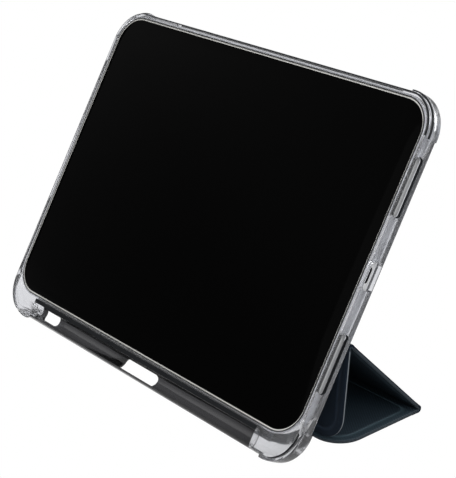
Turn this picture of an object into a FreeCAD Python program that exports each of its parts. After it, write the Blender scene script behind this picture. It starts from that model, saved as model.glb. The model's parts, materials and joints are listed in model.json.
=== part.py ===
"""Folding case for an 11-inch tablet, standing up on its cover folded to a triangle.

A soft bumper frame with a clear back panel and a stylus channel holds the tablet
in landscape.  The cover hangs on the frame's back below the stylus channel.  It is
folded right round behind the frame, and its three panels form the triangular stand.

Frames (millimetres)
  row frame    X along the long edge, Y to the back, Z up, origin under the middle
  shell frame  X as above, Y up the screen, Z out of the screen, origin mid-screen
  strip frame  each cover strip: X as above, Y from its fold line along the strip,
               Z towards its leather skin, Z = 0 midway through its thickness
"""
import FreeCAD, Part
import math
import os

import Sketcher

DRIVING = [
    # how the case stands
    ("lean_angle", 30.5),           # degrees the screen leans back from upright
    # bumper frame, in the shell frame
    ("frame_half_width", 125.7),
    ("frame_top", 91.5),
    ("frame_corner", 19.0),
    ("frame_front", 0.9),           # lip stands proud of the glass
    ("frame_back", -9.1),
    ("frame_softening", 0.8),       # radius on the long outer edges
    ("bay_half_width", 124.1),      # a 247.6 x 178.5 x 5.9 tablet with play
    ("bay_half_height", 89.55),
    ("bay_depth", 6.2),
    ("bay_corner", 17.6),
    ("lip_overlap", 1.3),
    ("seat_half_width", 119.0),     # rebate that holds the back panel
    ("seat_bottom", -81.0),
    ("seat_top", 83.0),
    ("seat_corner", 12.0),
    ("panel_thickness", 1.8),
    ("seat_ledge", 2.5),
    # corner cushions
    ("cushion_reach", 1.2),         # how far they stand out of the frame
    ("cushion_root", 5.0),
    ("cushion_length", 20.0),       # along each edge from the corner
    ("cushion_front", -1.2),
    ("cushion_back", -8.5),
    ("foot_centre_up", -96.9),      # round underside of the lower cushions
    ("foot_centre_out", -2.4),
    ("foot_radius", 6.9),
    # stylus channel
    ("channel_centre_up", -96.5),
    ("channel_centre_out", -3.2),
    ("channel_bore_radius", 4.75),  # an 8.9 mm stylus snaps in
    ("channel_outer_radius", 5.95),
    ("channel_mouth", 0.0),         # level of its two lips
    ("channel_half_length", 99.0),
    ("channel_web_edge", -93.5),    # frame material stops here behind the channel
    ("thumb_end", -80.0),           # the inner lip is missing left of this
    ("thumb_drop", 1.6),
    ("window_left", -16.0),
    ("window_right", 14.0),
    ("window_low", -103.0),
    ("window_high", -95.0),
    ("window_level", -4.6),
    ("window_corner", 3.2),
    ("push_hole_left", -95.5),
    ("push_hole_right", -81.0),
    ("push_hole_low", -100.4),
    ("push_hole_high", -93.6),
    # cut-outs in the frame
    ("speaker_near", 30.6),
    ("speaker_far", 62.0),
    ("speaker_low", -5.6),
    ("speaker_high", -0.5),
    ("port_half_length", 7.5),
    ("port_low", -8.0),
    ("port_high", -0.5),
    ("power_low", 57.0),
    ("power_high", 75.0),
    ("volume_left", -106.0),
    ("volume_right", -77.0),
    ("button_low", -7.4),
    ("button_high", -0.6),
    ("cutout_corner", 2.0),
    ("camera_across", -109.5),
    ("camera_up", 75.0),
    ("camera_half_size", 12.0),
    ("camera_corner", 7.0),
    # cover
    ("cover_half_width", 125.2),
    ("strip_half_width", 104.5),    # the two narrow spine strips and the bonded one
    ("cover_thickness", 2.4),
    ("strip_thickness", 1.6),
    ("board_thickness", 1.0),
    ("stiffener_thickness", 0.6),
    ("board_inset", 4.0),
    ("board_corner", 12.0),
    ("stiffener_inset", 1.5),
    ("stiffener_corner", 1.0),
    ("near_corner", 16.0),
    ("edge_corner", 14.0),
    ("bond_line_up", -94.3),        # first fold line, in the shell frame
    ("bond_line_out", -10.3),
    ("bond_strip_top", -80.0),
    ("spine_back_length", 9.45),
    ("spine_edge_length", 12.9),
    ("near_length", 63.5),
    ("edge_length", 54.2),
    ("ridge_up", -34.7),            # ridge that the frame leans on, shell frame
    ("ridge_out", -9.8),
    ("strip_floor_gap", 0.5),
    ("edge_floor_gap", 0.3),
    ("bond_gap", 1.3),              # bare web each side of a fold line
    ("spine_gap", 1.6),
    ("near_gap", 1.8),
    ("rear_gap", 3.3),
    ("ridge_gap", 2.9),
    ("crease_radius", 0.4),
    # steel and magnets in the cover
    ("latch_strip_half_width", 100.0),
    ("latch_strip_width", 6.0),
    ("latch_strip_thickness", 0.5),
    ("magnet_length", 20.0),
    ("magnet_width", 5.0),
    ("magnet_pitch", 52.0),
    ("magnet_edge_distance", 11.0),
    ("wake_magnet_length", 10.0),
    ("wake_magnet_across", 109.0),
    ("wake_magnet_distance", 26.0),
]
LATCH_MAGNETS = 4
SIZE = dict(DRIVING)


# ---------------------------------------------------------------- derived sizes

def to_world(up, out):
    """Shell frame (Y, Z) to row frame (Y, Z), still measured from mid-screen."""
    lean = math.radians(SIZE["lean_angle"])
    across = up * math.sin(lean) - out * math.cos(lean)
    height = up * math.cos(lean) + out * math.sin(lean)
    return across, height


def step(start, length, height):
    """From a fold line, a strip of this length that ends at this height."""
    angle = math.asin((height - start[1]) / length)
    return (start[0] + length * math.cos(angle), height), math.degrees(angle)


def derive_stand():
    """Fold lines and directions of the cover strips in the standing pose."""
    foot = to_world(SIZE["foot_centre_up"], SIZE["foot_centre_out"])
    table = foot[1] - SIZE["foot_radius"]
    strip_level = table + SIZE["strip_floor_gap"] + SIZE["strip_thickness"] / 2
    cover_level = table + SIZE["cover_thickness"] / 2

    bond_line = to_world(SIZE["bond_line_up"], SIZE["bond_line_out"])
    spine_line, back_angle = step(bond_line, SIZE["spine_back_length"], strip_level)
    near_line, edge_angle = step(spine_line, SIZE["spine_edge_length"], cover_level)
    rear_line = (near_line[0] + SIZE["near_length"], cover_level)
    ridge = to_world(SIZE["ridge_up"], SIZE["ridge_out"])
    middle_run = ridge[0] - rear_line[0]
    middle_rise = ridge[1] - rear_line[1]

    foot_level = cover_level + SIZE["cover_thickness"] / 2 + SIZE["edge_floor_gap"]
    edge_drop = ridge[1] - foot_level
    edge_lean = math.degrees(math.acos(edge_drop / SIZE["edge_length"]))
    SIZE["table_level"] = table
    SIZE["middle_length"] = math.hypot(middle_run, middle_rise)
    return {
        "spine_back": (bond_line, back_angle),
        "spine_edge": (spine_line, edge_angle),
        "near": (near_line, 0.0),
        "middle": (rear_line, math.degrees(math.atan2(middle_rise, middle_run))),
        "edge": (ridge, -90.0 - edge_lean),
    }


def derive_sizes():
    """Limits that are sums of the driving sizes."""
    size = SIZE
    size["frame_left"] = -size["frame_half_width"]
    size["frame_bottom"] = size["channel_centre_up"] - size["channel_outer_radius"]
    size["frame_depth"] = size["frame_front"] - size["frame_back"]
    size["bay_left"] = -size["bay_half_width"]
    size["bay_bottom"] = -size["bay_half_height"]
    size["bay_floor"] = -size["bay_depth"]
    size["lip_half_width"] = size["bay_half_width"] - size["lip_overlap"]
    size["lip_left"] = -size["lip_half_width"]
    size["lip_half_height"] = size["bay_half_height"] - size["lip_overlap"]
    size["lip_bottom"] = -size["lip_half_height"]
    size["lip_corner"] = size["bay_corner"] - size["lip_overlap"]
    size["seat_left"] = -size["seat_half_width"]
    size["seat_floor"] = size["bay_floor"] - size["panel_thickness"]
    size["rear_half_width"] = size["seat_half_width"] - size["seat_ledge"]
    size["rear_left"] = -size["rear_half_width"]
    size["rear_bottom"] = size["seat_bottom"] + size["seat_ledge"]
    size["rear_top"] = size["seat_top"] - size["seat_ledge"]
    size["rear_corner"] = size["seat_corner"] - size["seat_ledge"]
    size["rear_cut_depth"] = size["seat_floor"] - size["frame_back"]
    size["channel_left"] = -size["channel_half_length"]
    size["channel_length"] = 2 * size["channel_half_length"]
    size["speaker_far_low"] = -size["speaker_far"]
    size["speaker_near_low"] = -size["speaker_near"]
    size["port_start"] = -size["port_half_length"]
    size["side_cut_start"] = size["frame_half_width"] + size["cushion_reach"] + 1.0
    size["side_cut_depth"] = size["side_cut_start"] - size["bay_half_width"] + 0.5
    size["side_cut_left"] = -size["side_cut_start"] + size["side_cut_depth"]
    size["camera_left"] = size["camera_across"] - size["camera_half_size"]
    size["camera_right"] = size["camera_across"] + size["camera_half_size"]
    size["camera_low"] = size["camera_up"] - size["camera_half_size"]
    size["camera_high"] = size["camera_up"] + size["camera_half_size"]
    size["camera_cut_depth"] = size["bay_floor"] - size["frame_back"]


# ------------------------------------------------------------- document helpers

derive_sizes()
STRIPS = derive_stand()
DOC = FreeCAD.newDocument("tablet_case")
SHEET = DOC.addObject("Spreadsheet::Sheet", "sizes")
NODES = []


def write_cell(alias, value):
    """Keep one size in the sheet, under its own name."""
    if alias in SHEET_ROWS:
        row = SHEET_ROWS[alias]
    else:
        row = len(SHEET_ROWS) + 1
        SHEET_ROWS[alias] = row
        SHEET.set(f"A{row}", alias)
        SHEET.setAlias(f"B{row}", alias)
    SHEET.set(f"B{row}", repr(float(value)))


SHEET_ROWS = {}
for alias, value in SIZE.items():
    write_cell(alias, value)
for strip, ((strip_across, strip_height), strip_angle) in STRIPS.items():
    write_cell(strip + "_line_across", strip_across)
    write_cell(strip + "_line_height", strip_height)
    write_cell(strip + "_angle", strip_angle)
write_cell("depth_shift", 0.0)
write_cell("height_shift", -SIZE["table_level"])
DOC.recompute()


def origin_plane(body, role):
    """One of the body's own origin planes."""
    return next(item for item in body.Origin.OriginFeatures if item.Role == role)


def new_body(name, place, *arguments):
    """A body with its own node name, placed on the shell or on a strip."""
    body = DOC.addObject("PartDesign::Body", name)
    body.Label = name
    place(body, *arguments)
    NODES.append(body)
    return body


def bind_placement(item, across, height, angle):
    """Turned about X by angle, and moved to a place in the row frame."""
    turn = f"rotation(vector(1; 0; 0); {angle})"
    item.setExpression("Placement", f"placement(vector(0; {across}; {height}); {turn})")


def on_shell(item):
    """The shell frame leans back about mid-screen."""
    bind_placement(item, "sizes.depth_shift", "sizes.height_shift", "90 - sizes.lean_angle")


def on_strip(item, strip):
    """A strip frame sits on the strip's own fold line."""
    across = f"sizes.depth_shift + sizes.{strip}_line_across"
    height = f"sizes.height_shift + sizes.{strip}_line_height"
    bind_placement(item, across, height, f"sizes.{strip}_angle")


def new_sketch(body, name, role, level):
    """A sketch on one of the body's planes, raised to the level."""
    sketch = body.newObject("Sketcher::SketchObject", name)
    sketch.AttachmentSupport = (origin_plane(body, role), [""])
    sketch.MapMode = "FlatFace"
    sketch.setExpression("AttachmentOffset.Base.z", level)
    return sketch


def pin(sketch, direction, geometry, point, alias):
    """Hold a point at the sheet's value, measured from the sketch's origin."""
    value = SIZE[alias]
    if value >= 0:
        rule = Sketcher.Constraint(direction, -1, 1, geometry, point, value)
        expression = f"sizes.{alias}"
    else:
        rule = Sketcher.Constraint(direction, geometry, point, -1, 1, -value)
        expression = f"-sizes.{alias}"
    index = sketch.addConstraint(rule)
    sketch.setExpression(f"Constraints[{index}]", expression)


def bind_radius(sketch, geometry, alias):
    """Hold an arc's radius at the sheet's value."""
    index = sketch.addConstraint(Sketcher.Constraint("Radius", geometry, SIZE[alias]))
    sketch.setExpression(f"Constraints[{index}]", f"sizes.{alias}")


def vector(u, v):
    return FreeCAD.Vector(u, v, 0)


def arc(u, v, radius, start, end):
    """Arc about (u, v), from one angle to the other in degrees."""
    circle = Part.Circle(vector(u, v), FreeCAD.Vector(0, 0, 1), radius)
    return Part.ArcOfCircle(circle, math.radians(start), math.radians(end))


def rectangle(body, name, left, right, bottom, top, level, role="XY_Plane"):
    """Plain rectangle between four sheet values."""
    sketch = new_sketch(body, name, role, level)
    x0, x1, y0, y1 = SIZE[left], SIZE[right], SIZE[bottom], SIZE[top]
    corners = [vector(x0, y0), vector(x1, y0), vector(x1, y1), vector(x0, y1)]
    for index in range(4):
        sketch.addGeometry(Part.LineSegment(corners[index], corners[(index + 1) % 4]))
    for index in range(4):
        following = (index + 1) % 4
        sketch.addConstraint(Sketcher.Constraint("Coincident", index, 2, following, 1))
        way = "Vertical" if index % 2 else "Horizontal"
        sketch.addConstraint(Sketcher.Constraint(way, index))
    pin(sketch, "DistanceX", 3, 1, left)
    pin(sketch, "DistanceX", 1, 1, right)
    pin(sketch, "DistanceY", 0, 1, bottom)
    pin(sketch, "DistanceY", 2, 1, top)
    return sketch


def rounded_rectangle(body, name, left, right, bottom, top, corner, level,
                      role="XY_Plane"):
    """Rectangle with four equal round corners between four sheet values."""
    sketch = new_sketch(body, name, role, level)
    x0, x1, y0, y1 = SIZE[left], SIZE[right], SIZE[bottom], SIZE[top]
    r = SIZE[corner]
    sides = [
        (vector(x0 + r, y0), vector(x1 - r, y0)),
        (vector(x1, y0 + r), vector(x1, y1 - r)),
        (vector(x1 - r, y1), vector(x0 + r, y1)),
        (vector(x0, y1 - r), vector(x0, y0 + r)),
    ]
    centres = [(x1 - r, y0 + r), (x1 - r, y1 - r), (x0 + r, y1 - r), (x0 + r, y0 + r)]
    for start, end in sides:
        sketch.addGeometry(Part.LineSegment(start, end))
    for index, (u, v) in enumerate(centres):
        sketch.addGeometry(arc(u, v, r, 90 * index - 90, 90 * index))
    for index in range(4):
        bend = index + 4
        following = (index + 1) % 4
        sketch.addConstraint(Sketcher.Constraint("Tangent", index, 2, bend, 1))
        sketch.addConstraint(Sketcher.Constraint("Tangent", bend, 2, following, 1))
        way = "Vertical" if index % 2 else "Horizontal"
        sketch.addConstraint(Sketcher.Constraint(way, index))
    for bend in (5, 6, 7):
        sketch.addConstraint(Sketcher.Constraint("Equal", 4, bend))
    bind_radius(sketch, 4, corner)
    pin(sketch, "DistanceX", 3, 1, left)
    pin(sketch, "DistanceX", 1, 1, right)
    pin(sketch, "DistanceY", 0, 1, bottom)
    pin(sketch, "DistanceY", 2, 1, top)
    return sketch


def pad(body, sketch, length):
    """Raise a sketch along its normal."""
    feature = body.newObject("PartDesign::Pad", sketch.Name + "_pad")
    feature.Profile = sketch
    feature.setExpression("Length", length)
    return feature


def pocket(body, sketch, length):
    """Sink a sketch against its normal."""
    feature = body.newObject("PartDesign::Pocket", sketch.Name + "_pocket")
    feature.Profile = sketch
    feature.setExpression("Length", length)
    return feature


def fillet_edges(body, base, name, radius, chosen):
    """Round every edge of the base feature that the test picks."""
    DOC.recompute()
    edges = [f"Edge{number}" for number, edge in enumerate(base.Shape.Edges, 1)
             if chosen(edge)]
    feature = body.newObject("PartDesign::Fillet", name)
    feature.Base = (base, edges)
    feature.setExpression("Radius", radius)
    return feature


def block(body, kind, name, corner, lengths):
    """A box feature; corner and lengths are expressions."""
    feature = body.newObject(f"PartDesign::{kind}Box", name)
    feature.AttachmentSupport = (origin_plane(body, "XY_Plane"), [""])
    feature.MapMode = "FlatFace"
    for axis, expression in zip("xyz", corner):
        feature.setExpression(f"AttachmentOffset.Base.{axis}", expression)
    for side, expression in zip(("Length", "Width", "Height"), lengths):
        feature.setExpression(side, expression)
    return feature


# ------------------------------------------------------------------- the shell

def round_underside(body, name, centre_up, centre_out, radius):
    """Cut the lower edge to a round section, along the whole length."""
    u, v, r = SIZE[centre_up], SIZE[centre_out], SIZE[radius]
    reach = r + 3.0
    sketch = new_sketch(body, name, "YZ_Plane", "sizes.side_cut_start + 1")
    points = [vector(u, v + r), vector(u, v + reach), vector(u - reach, v + reach),
              vector(u - reach, v - reach), vector(u, v - reach), vector(u, v - r)]
    for start, end in zip(points, points[1:]):
        sketch.addGeometry(Part.LineSegment(start, end))
    sketch.addGeometry(arc(u, v, r, 90, 270))
    for index in range(4):
        sketch.addConstraint(Sketcher.Constraint("Coincident", index, 2, index + 1, 1))
    for index, way in enumerate(("Vertical", "Horizontal", "Vertical", "Horizontal")):
        sketch.addConstraint(Sketcher.Constraint(way, index))
    sketch.addConstraint(Sketcher.Constraint("Coincident", 4, 2, 5, 2))
    sketch.addConstraint(Sketcher.Constraint("Coincident", 5, 1, 0, 1))
    pin(sketch, "DistanceX", 5, 3, centre_up)
    pin(sketch, "DistanceY", 5, 3, centre_out)
    bind_radius(sketch, 5, radius)
    cut = pocket(body, sketch, "2 * sizes.side_cut_start + 2")
    return cut


def cushion_outline(body, name, upper):
    """Plan of the cushion round a right-hand corner: a band that follows it."""
    reach, root = SIZE["cushion_reach"], SIZE["cushion_root"]
    radius = SIZE["frame_corner"]
    sign = 1 if upper else -1
    edge = SIZE["frame_top"] if upper else SIZE["frame_bottom"]
    centre_x = SIZE["frame_half_width"] - radius
    centre_y = edge - sign * radius
    run = SIZE["cushion_length"] - radius
    outer, inner = radius + reach, radius - root
    across = [centre_x - run, centre_x]
    sketch = new_sketch(body, name, "XY_Plane", "sizes.cushion_back")

    def at(x, distance_y):
        return vector(x, centre_y + sign * distance_y)

    lines = [
        (at(across[0], inner), at(across[0], outer)),
        (at(across[0], outer), at(across[1], outer)),
        (at(centre_x + outer, 0), at(centre_x + outer, -run)),
        (at(centre_x + outer, -run), at(centre_x + inner, -run)),
        (at(centre_x + inner, -run), at(centre_x + inner, 0)),
        (at(across[1], inner), at(across[0], inner)),
    ]
    for start, end in lines:
        sketch.addGeometry(Part.LineSegment(start, end))
    turn = (0, 90) if upper else (270, 360)
    for bend in (outer, inner):
        sketch.addGeometry(arc(centre_x, centre_y, bend, *turn))
    return sketch


def add_cushions(body):
    """Corner cushions, modelled on the right and mirrored to the left."""
    pads = []
    for name, upper in (("cushion_upper", True), ("cushion_lower", False)):
        sketch = cushion_outline(body, name, upper)
        pads.append(pad(body, sketch, "sizes.cushion_front - sizes.cushion_back"))
    mirror = body.newObject("PartDesign::Mirrored", "cushions_left")
    mirror.Originals = pads
    mirror.MirrorPlane = (origin_plane(body, "YZ_Plane"), [""])
    body.Tip = mirror
    return mirror


def side_cutout(body, name, near, far, low, high, left_wall=False):
    """A rounded cut-out through the right or the left wall."""
    level = "sizes.side_cut_left" if left_wall else "sizes.side_cut_start"
    sketch = rounded_rectangle(body, name, near, far, low, high, "cutout_corner",
                               level, "YZ_Plane")
    return pocket(body, sketch, "sizes.side_cut_depth")


def make_bumper_frame():
    """Soft frame round the tablet, with its corner cushions and cut-outs."""
    body = new_body("bumper_frame", on_shell)
    plan = rounded_rectangle(body, "frame_plan", "frame_left", "frame_half_width",
                             "frame_bottom", "frame_top", "frame_corner",
                             "sizes.frame_back")
    solid = pad(body, plan, "sizes.frame_depth")
    flat = [SIZE["frame_back"], SIZE["frame_front"]]
    fillet_edges(body, solid, "long_edges", "sizes.frame_softening",
                 lambda edge: edge.BoundBox.ZLength < 1e-6
                 and min(abs(edge.BoundBox.ZMin - level) for level in flat) < 1e-6)
    round_underside(body, "channel_underside", "channel_centre_up",
                    "channel_centre_out", "channel_outer_radius")
    add_cushions(body)
    round_underside(body, "cushion_underside", "foot_centre_up",
                    "foot_centre_out", "foot_radius")

    lip = rounded_rectangle(body, "lip_opening", "lip_left", "lip_half_width",
                            "lip_bottom", "lip_half_height", "lip_corner",
                            "sizes.frame_front")
    pocket(body, lip, "sizes.frame_front")
    bay = rounded_rectangle(body, "tablet_bay", "bay_left", "bay_half_width",
                            "bay_bottom", "bay_half_height", "bay_corner", "0")
    pocket(body, bay, "sizes.bay_depth")
    seat = rounded_rectangle(body, "panel_seat", "seat_left", "seat_half_width",
                             "seat_bottom", "seat_top", "seat_corner",
                             "sizes.bay_floor")
    pocket(body, seat, "sizes.panel_thickness")
    rear = rounded_rectangle(body, "rear_opening", "rear_left", "rear_half_width",
                             "rear_bottom", "rear_top", "rear_corner",
                             "sizes.seat_floor")
    pocket(body, rear, "sizes.rear_cut_depth")

    block(body, "Subtractive", "channel_space",
          ("sizes.channel_left", "sizes.frame_bottom - 1", "sizes.frame_back - 1"),
          ("sizes.channel_length", "sizes.channel_web_edge - sizes.frame_bottom + 1",
           "sizes.frame_depth + 2"))
    tube = body.newObject("PartDesign::SubtractiveCylinder", "channel_bed")
    tube.AttachmentSupport = (origin_plane(body, "YZ_Plane"), [""])
    tube.MapMode = "FlatFace"
    tube.setExpression("AttachmentOffset.Base.x", "sizes.channel_centre_up")
    tube.setExpression("AttachmentOffset.Base.y", "sizes.channel_centre_out")
    tube.setExpression("AttachmentOffset.Base.z", "sizes.channel_left")
    tube.setExpression("Radius", "sizes.channel_outer_radius")
    tube.setExpression("Height", "sizes.channel_length")

    side_cutout(body, "speaker_upper", "speaker_near", "speaker_far",
                "speaker_low", "speaker_high")
    side_cutout(body, "speaker_lower", "speaker_far_low", "speaker_near_low",
                "speaker_low", "speaker_high")
    side_cutout(body, "port_cutout", "port_start", "port_half_length",
                "port_low", "port_high")
    side_cutout(body, "power_cutout", "power_low", "power_high",
                "button_low", "button_high", left_wall=True)
    block(body, "Subtractive", "volume_cutout",
          ("sizes.volume_left", "sizes.bay_half_height - 0.5", "sizes.button_low"),
          ("sizes.volume_right - sizes.volume_left",
           "sizes.frame_top - sizes.bay_half_height + 2",
           "sizes.button_high - sizes.button_low"))
    camera = rounded_rectangle(body, "camera_relief", "camera_left", "camera_right",
                               "camera_low", "camera_high", "camera_corner",
                               "sizes.bay_floor")
    pocket(body, camera, "sizes.camera_cut_depth")
    return body


def make_stylus_channel():
    """Round channel along the lower edge, open to the front."""
    body = new_body("stylus_channel", on_shell)
    sketch = new_sketch(body, "channel_section", "YZ_Plane", "sizes.channel_left")
    u, v = SIZE["channel_centre_up"], SIZE["channel_centre_out"]
    outer, inner = SIZE["channel_outer_radius"], SIZE["channel_bore_radius"]
    rise = SIZE["channel_mouth"] - v
    for radius in (outer, inner):
        tilt = math.degrees(math.asin(rise / radius))
        sketch.addGeometry(arc(u, v, radius, 180 - tilt, 360 + tilt))
    for side in (-1, 1):
        ends = [vector(u + side * math.sqrt(radius ** 2 - rise ** 2),
                       SIZE["channel_mouth"]) for radius in (outer, inner)]
        sketch.addGeometry(Part.LineSegment(*ends))
    for line, point in ((2, 1), (3, 2)):
        for ring, end in ((0, 1), (1, 2)):
            sketch.addConstraint(
                Sketcher.Constraint("Coincident", ring, point, line, end))
    sketch.addConstraint(Sketcher.Constraint("Coincident", 0, 3, 1, 3))
    pin(sketch, "DistanceX", 0, 3, "channel_centre_up")
    pin(sketch, "DistanceY", 0, 3, "channel_centre_out")
    bind_radius(sketch, 0, "channel_outer_radius")
    bind_radius(sketch, 1, "channel_bore_radius")
    for line in (2, 3):
        sketch.addConstraint(Sketcher.Constraint("Horizontal", line))
        pin(sketch, "DistanceY", line, 1, "channel_mouth")
    pad(body, sketch, "sizes.channel_length")

    window = rounded_rectangle(body, "finger_window", "window_left", "window_right",
                               "window_low", "window_high", "window_corner",
                               "sizes.window_level")
    pocket(body, window, "sizes.channel_outer_radius")
    hole = rounded_rectangle(body, "push_hole", "push_hole_left", "push_hole_right",
                             "push_hole_low", "push_hole_high", "cutout_corner",
                             "sizes.window_level")
    pocket(body, hole, "sizes.channel_outer_radius")
    block(body, "Subtractive", "thumb_relief",
          ("sizes.channel_left", "sizes.channel_centre_up + 1",
           "sizes.channel_mouth - sizes.thumb_drop"),
          ("sizes.thumb_end - sizes.channel_left", "sizes.channel_outer_radius",
           "sizes.thumb_drop + 1"))
    return body


def make_back_panel():
    """Clear hard panel behind the tablet, with the camera window."""
    body = new_body("back_panel", on_shell)
    plan = rounded_rectangle(body, "panel_plan", "seat_left", "seat_half_width",
                             "seat_bottom", "seat_top", "seat_corner",
                             "sizes.seat_floor")
    pad(body, plan, "sizes.panel_thickness")
    camera = rounded_rectangle(body, "panel_camera", "camera_left", "camera_right",
                               "camera_low", "camera_high", "camera_corner",
                               "sizes.bay_floor")
    pocket(body, camera, "sizes.panel_thickness")
    return body


def make_bonded_strip():
    """End of the cover, bonded on the back of the frame, and its adhesive."""
    face = "(sizes.bond_line_out + sizes.strip_thickness / 2)"
    body = new_body("bonded_strip", on_shell)
    block(body, "Additive", "strip",
          ("-sizes.strip_half_width", "sizes.bond_line_up + sizes.bond_gap",
           "sizes.bond_line_out - sizes.strip_thickness / 2"),
          ("2 * sizes.strip_half_width",
           "sizes.bond_strip_top - sizes.bond_line_up - sizes.bond_gap",
           "sizes.strip_thickness"))
    glue = new_body("strip_adhesive", on_shell)
    block(glue, "Additive", "film",
          ("-sizes.strip_half_width + 1", "sizes.bond_line_up + sizes.bond_gap + 1",
           face),
          ("2 * sizes.strip_half_width - 2",
           "sizes.bond_strip_top - sizes.bond_line_up - sizes.bond_gap - 2",
           f"sizes.frame_back - {face}"))


# ------------------------------------------------------------------- the cover

class Strip:
    """Outline and layers of one cover strip, as sheet values."""

    def __init__(self, name, half_width, length, gaps, layers):
        self.name = name
        self.thickness, self.core = layers
        self.start = self.keep("start", SIZE[gaps[0]])
        self.end = self.keep("end", SIZE[length] - SIZE[gaps[1]] if gaps[1]
                             else SIZE[length])
        self.left = self.keep("left", -SIZE[half_width])
        self.right = half_width

    def keep(self, word, value):
        alias = f"{self.name}_{word}"
        SIZE[alias] = value
        write_cell(alias, value)
        return alias

    def inset(self, amount):
        """Aliases of the core's four limits."""
        half = SIZE[self.right] - amount
        return (self.keep("core_left", -half), self.keep("core_right", half),
                self.keep("core_start", SIZE[self.start] + amount),
                self.keep("core_end", SIZE[self.end] - amount))


def round_end(body, solid, strip, corner, at_start):
    """Round the two corners at one end of a strip."""
    place = SIZE[strip.start] if at_start else SIZE[strip.end]
    fillet_edges(body, solid, "rounded_end", f"sizes.{corner}",
                 lambda edge: edge.BoundBox.ZLength > 0.1
                 and edge.BoundBox.YLength < 1e-6
                 and abs(edge.BoundBox.YMin - place) < 1e-6)


def make_layer(strip, suffix, level, limits, corner, rounding):
    """Skin or lining, half the thickness, with a shallow bed for the core."""
    body = new_body(f"{strip.name}_{suffix}", on_strip, strip.name)
    sketch = rectangle(body, f"{strip.name}_{suffix}_plan", strip.left, strip.right,
                       strip.start, strip.end, level)
    solid = pad(body, sketch, f"sizes.{strip.thickness} / 2")
    if rounding:
        round_end(body, solid, strip, *rounding)
    if limits:
        top = f"sizes.{strip.core} / 2" if suffix == "skin" else "0"
        bed = rounded_rectangle(body, f"{strip.name}_{suffix}_bed", *limits, corner, top)
        pocket(body, bed, f"sizes.{strip.core} / 2")
    return body


def make_strip(strip, core=None, corner=None, inset=None, rounding=None):
    """The layers of one strip: leather skin, core board and fabric lining."""
    limits = strip.inset(SIZE[inset]) if core else None
    make_layer(strip, "skin", "0", limits, corner, rounding)
    make_layer(strip, "lining", f"-sizes.{strip.thickness} / 2", limits, corner, rounding)
    if not core:
        return None
    body = new_body(f"{strip.name}_{core}", on_strip, strip.name)
    plan = rounded_rectangle(body, f"{strip.name}_core_plan", *limits, corner,
                             f"-sizes.{strip.core} / 2")
    pad(body, plan, f"sizes.{strip.core}")
    return body


def make_crease(name, strip, half_width):
    """Bare web on a fold line, a thin round cord of skin and lining."""
    crease = DOC.addObject("Part::Cylinder", name)
    crease.Label = name
    crease.setExpression("Radius", "sizes.crease_radius")
    crease.setExpression("Height", f"2 * ({half_width})")
    across = f"sizes.depth_shift + sizes.{strip}_line_across"
    height = f"sizes.height_shift + sizes.{strip}_line_height"
    crease.setExpression("Placement", f"placement(vector(-({half_width}); {across}; "
                         f"{height}); rotation(vector(0; 1; 0); 90))")
    NODES.append(crease)


def bar_group(name, strip, places, lengths, level, board):
    """Equal bars in one node, each in its own hole of the board."""
    bars = []
    for number, (across, along) in enumerate(places):
        corner = (across, along, level)
        block(board, "Subtractive", f"{name}_hole_{number}", corner, lengths)
        bar = DOC.addObject("Part::Box", f"{name}_{number}")
        for side, expression in zip(("Length", "Width", "Height"), lengths):
            bar.setExpression(side, expression)
        base = "; ".join(corner)
        bar.setExpression("Placement", f"placement(vector({base}); "
                          "rotation(vector(0; 0; 1); 0))")
        bars.append(bar)
    group = DOC.addObject("Part::Compound", name)
    group.Label = name
    group.Links = bars
    on_strip(group, strip)
    NODES.append(group)


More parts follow.
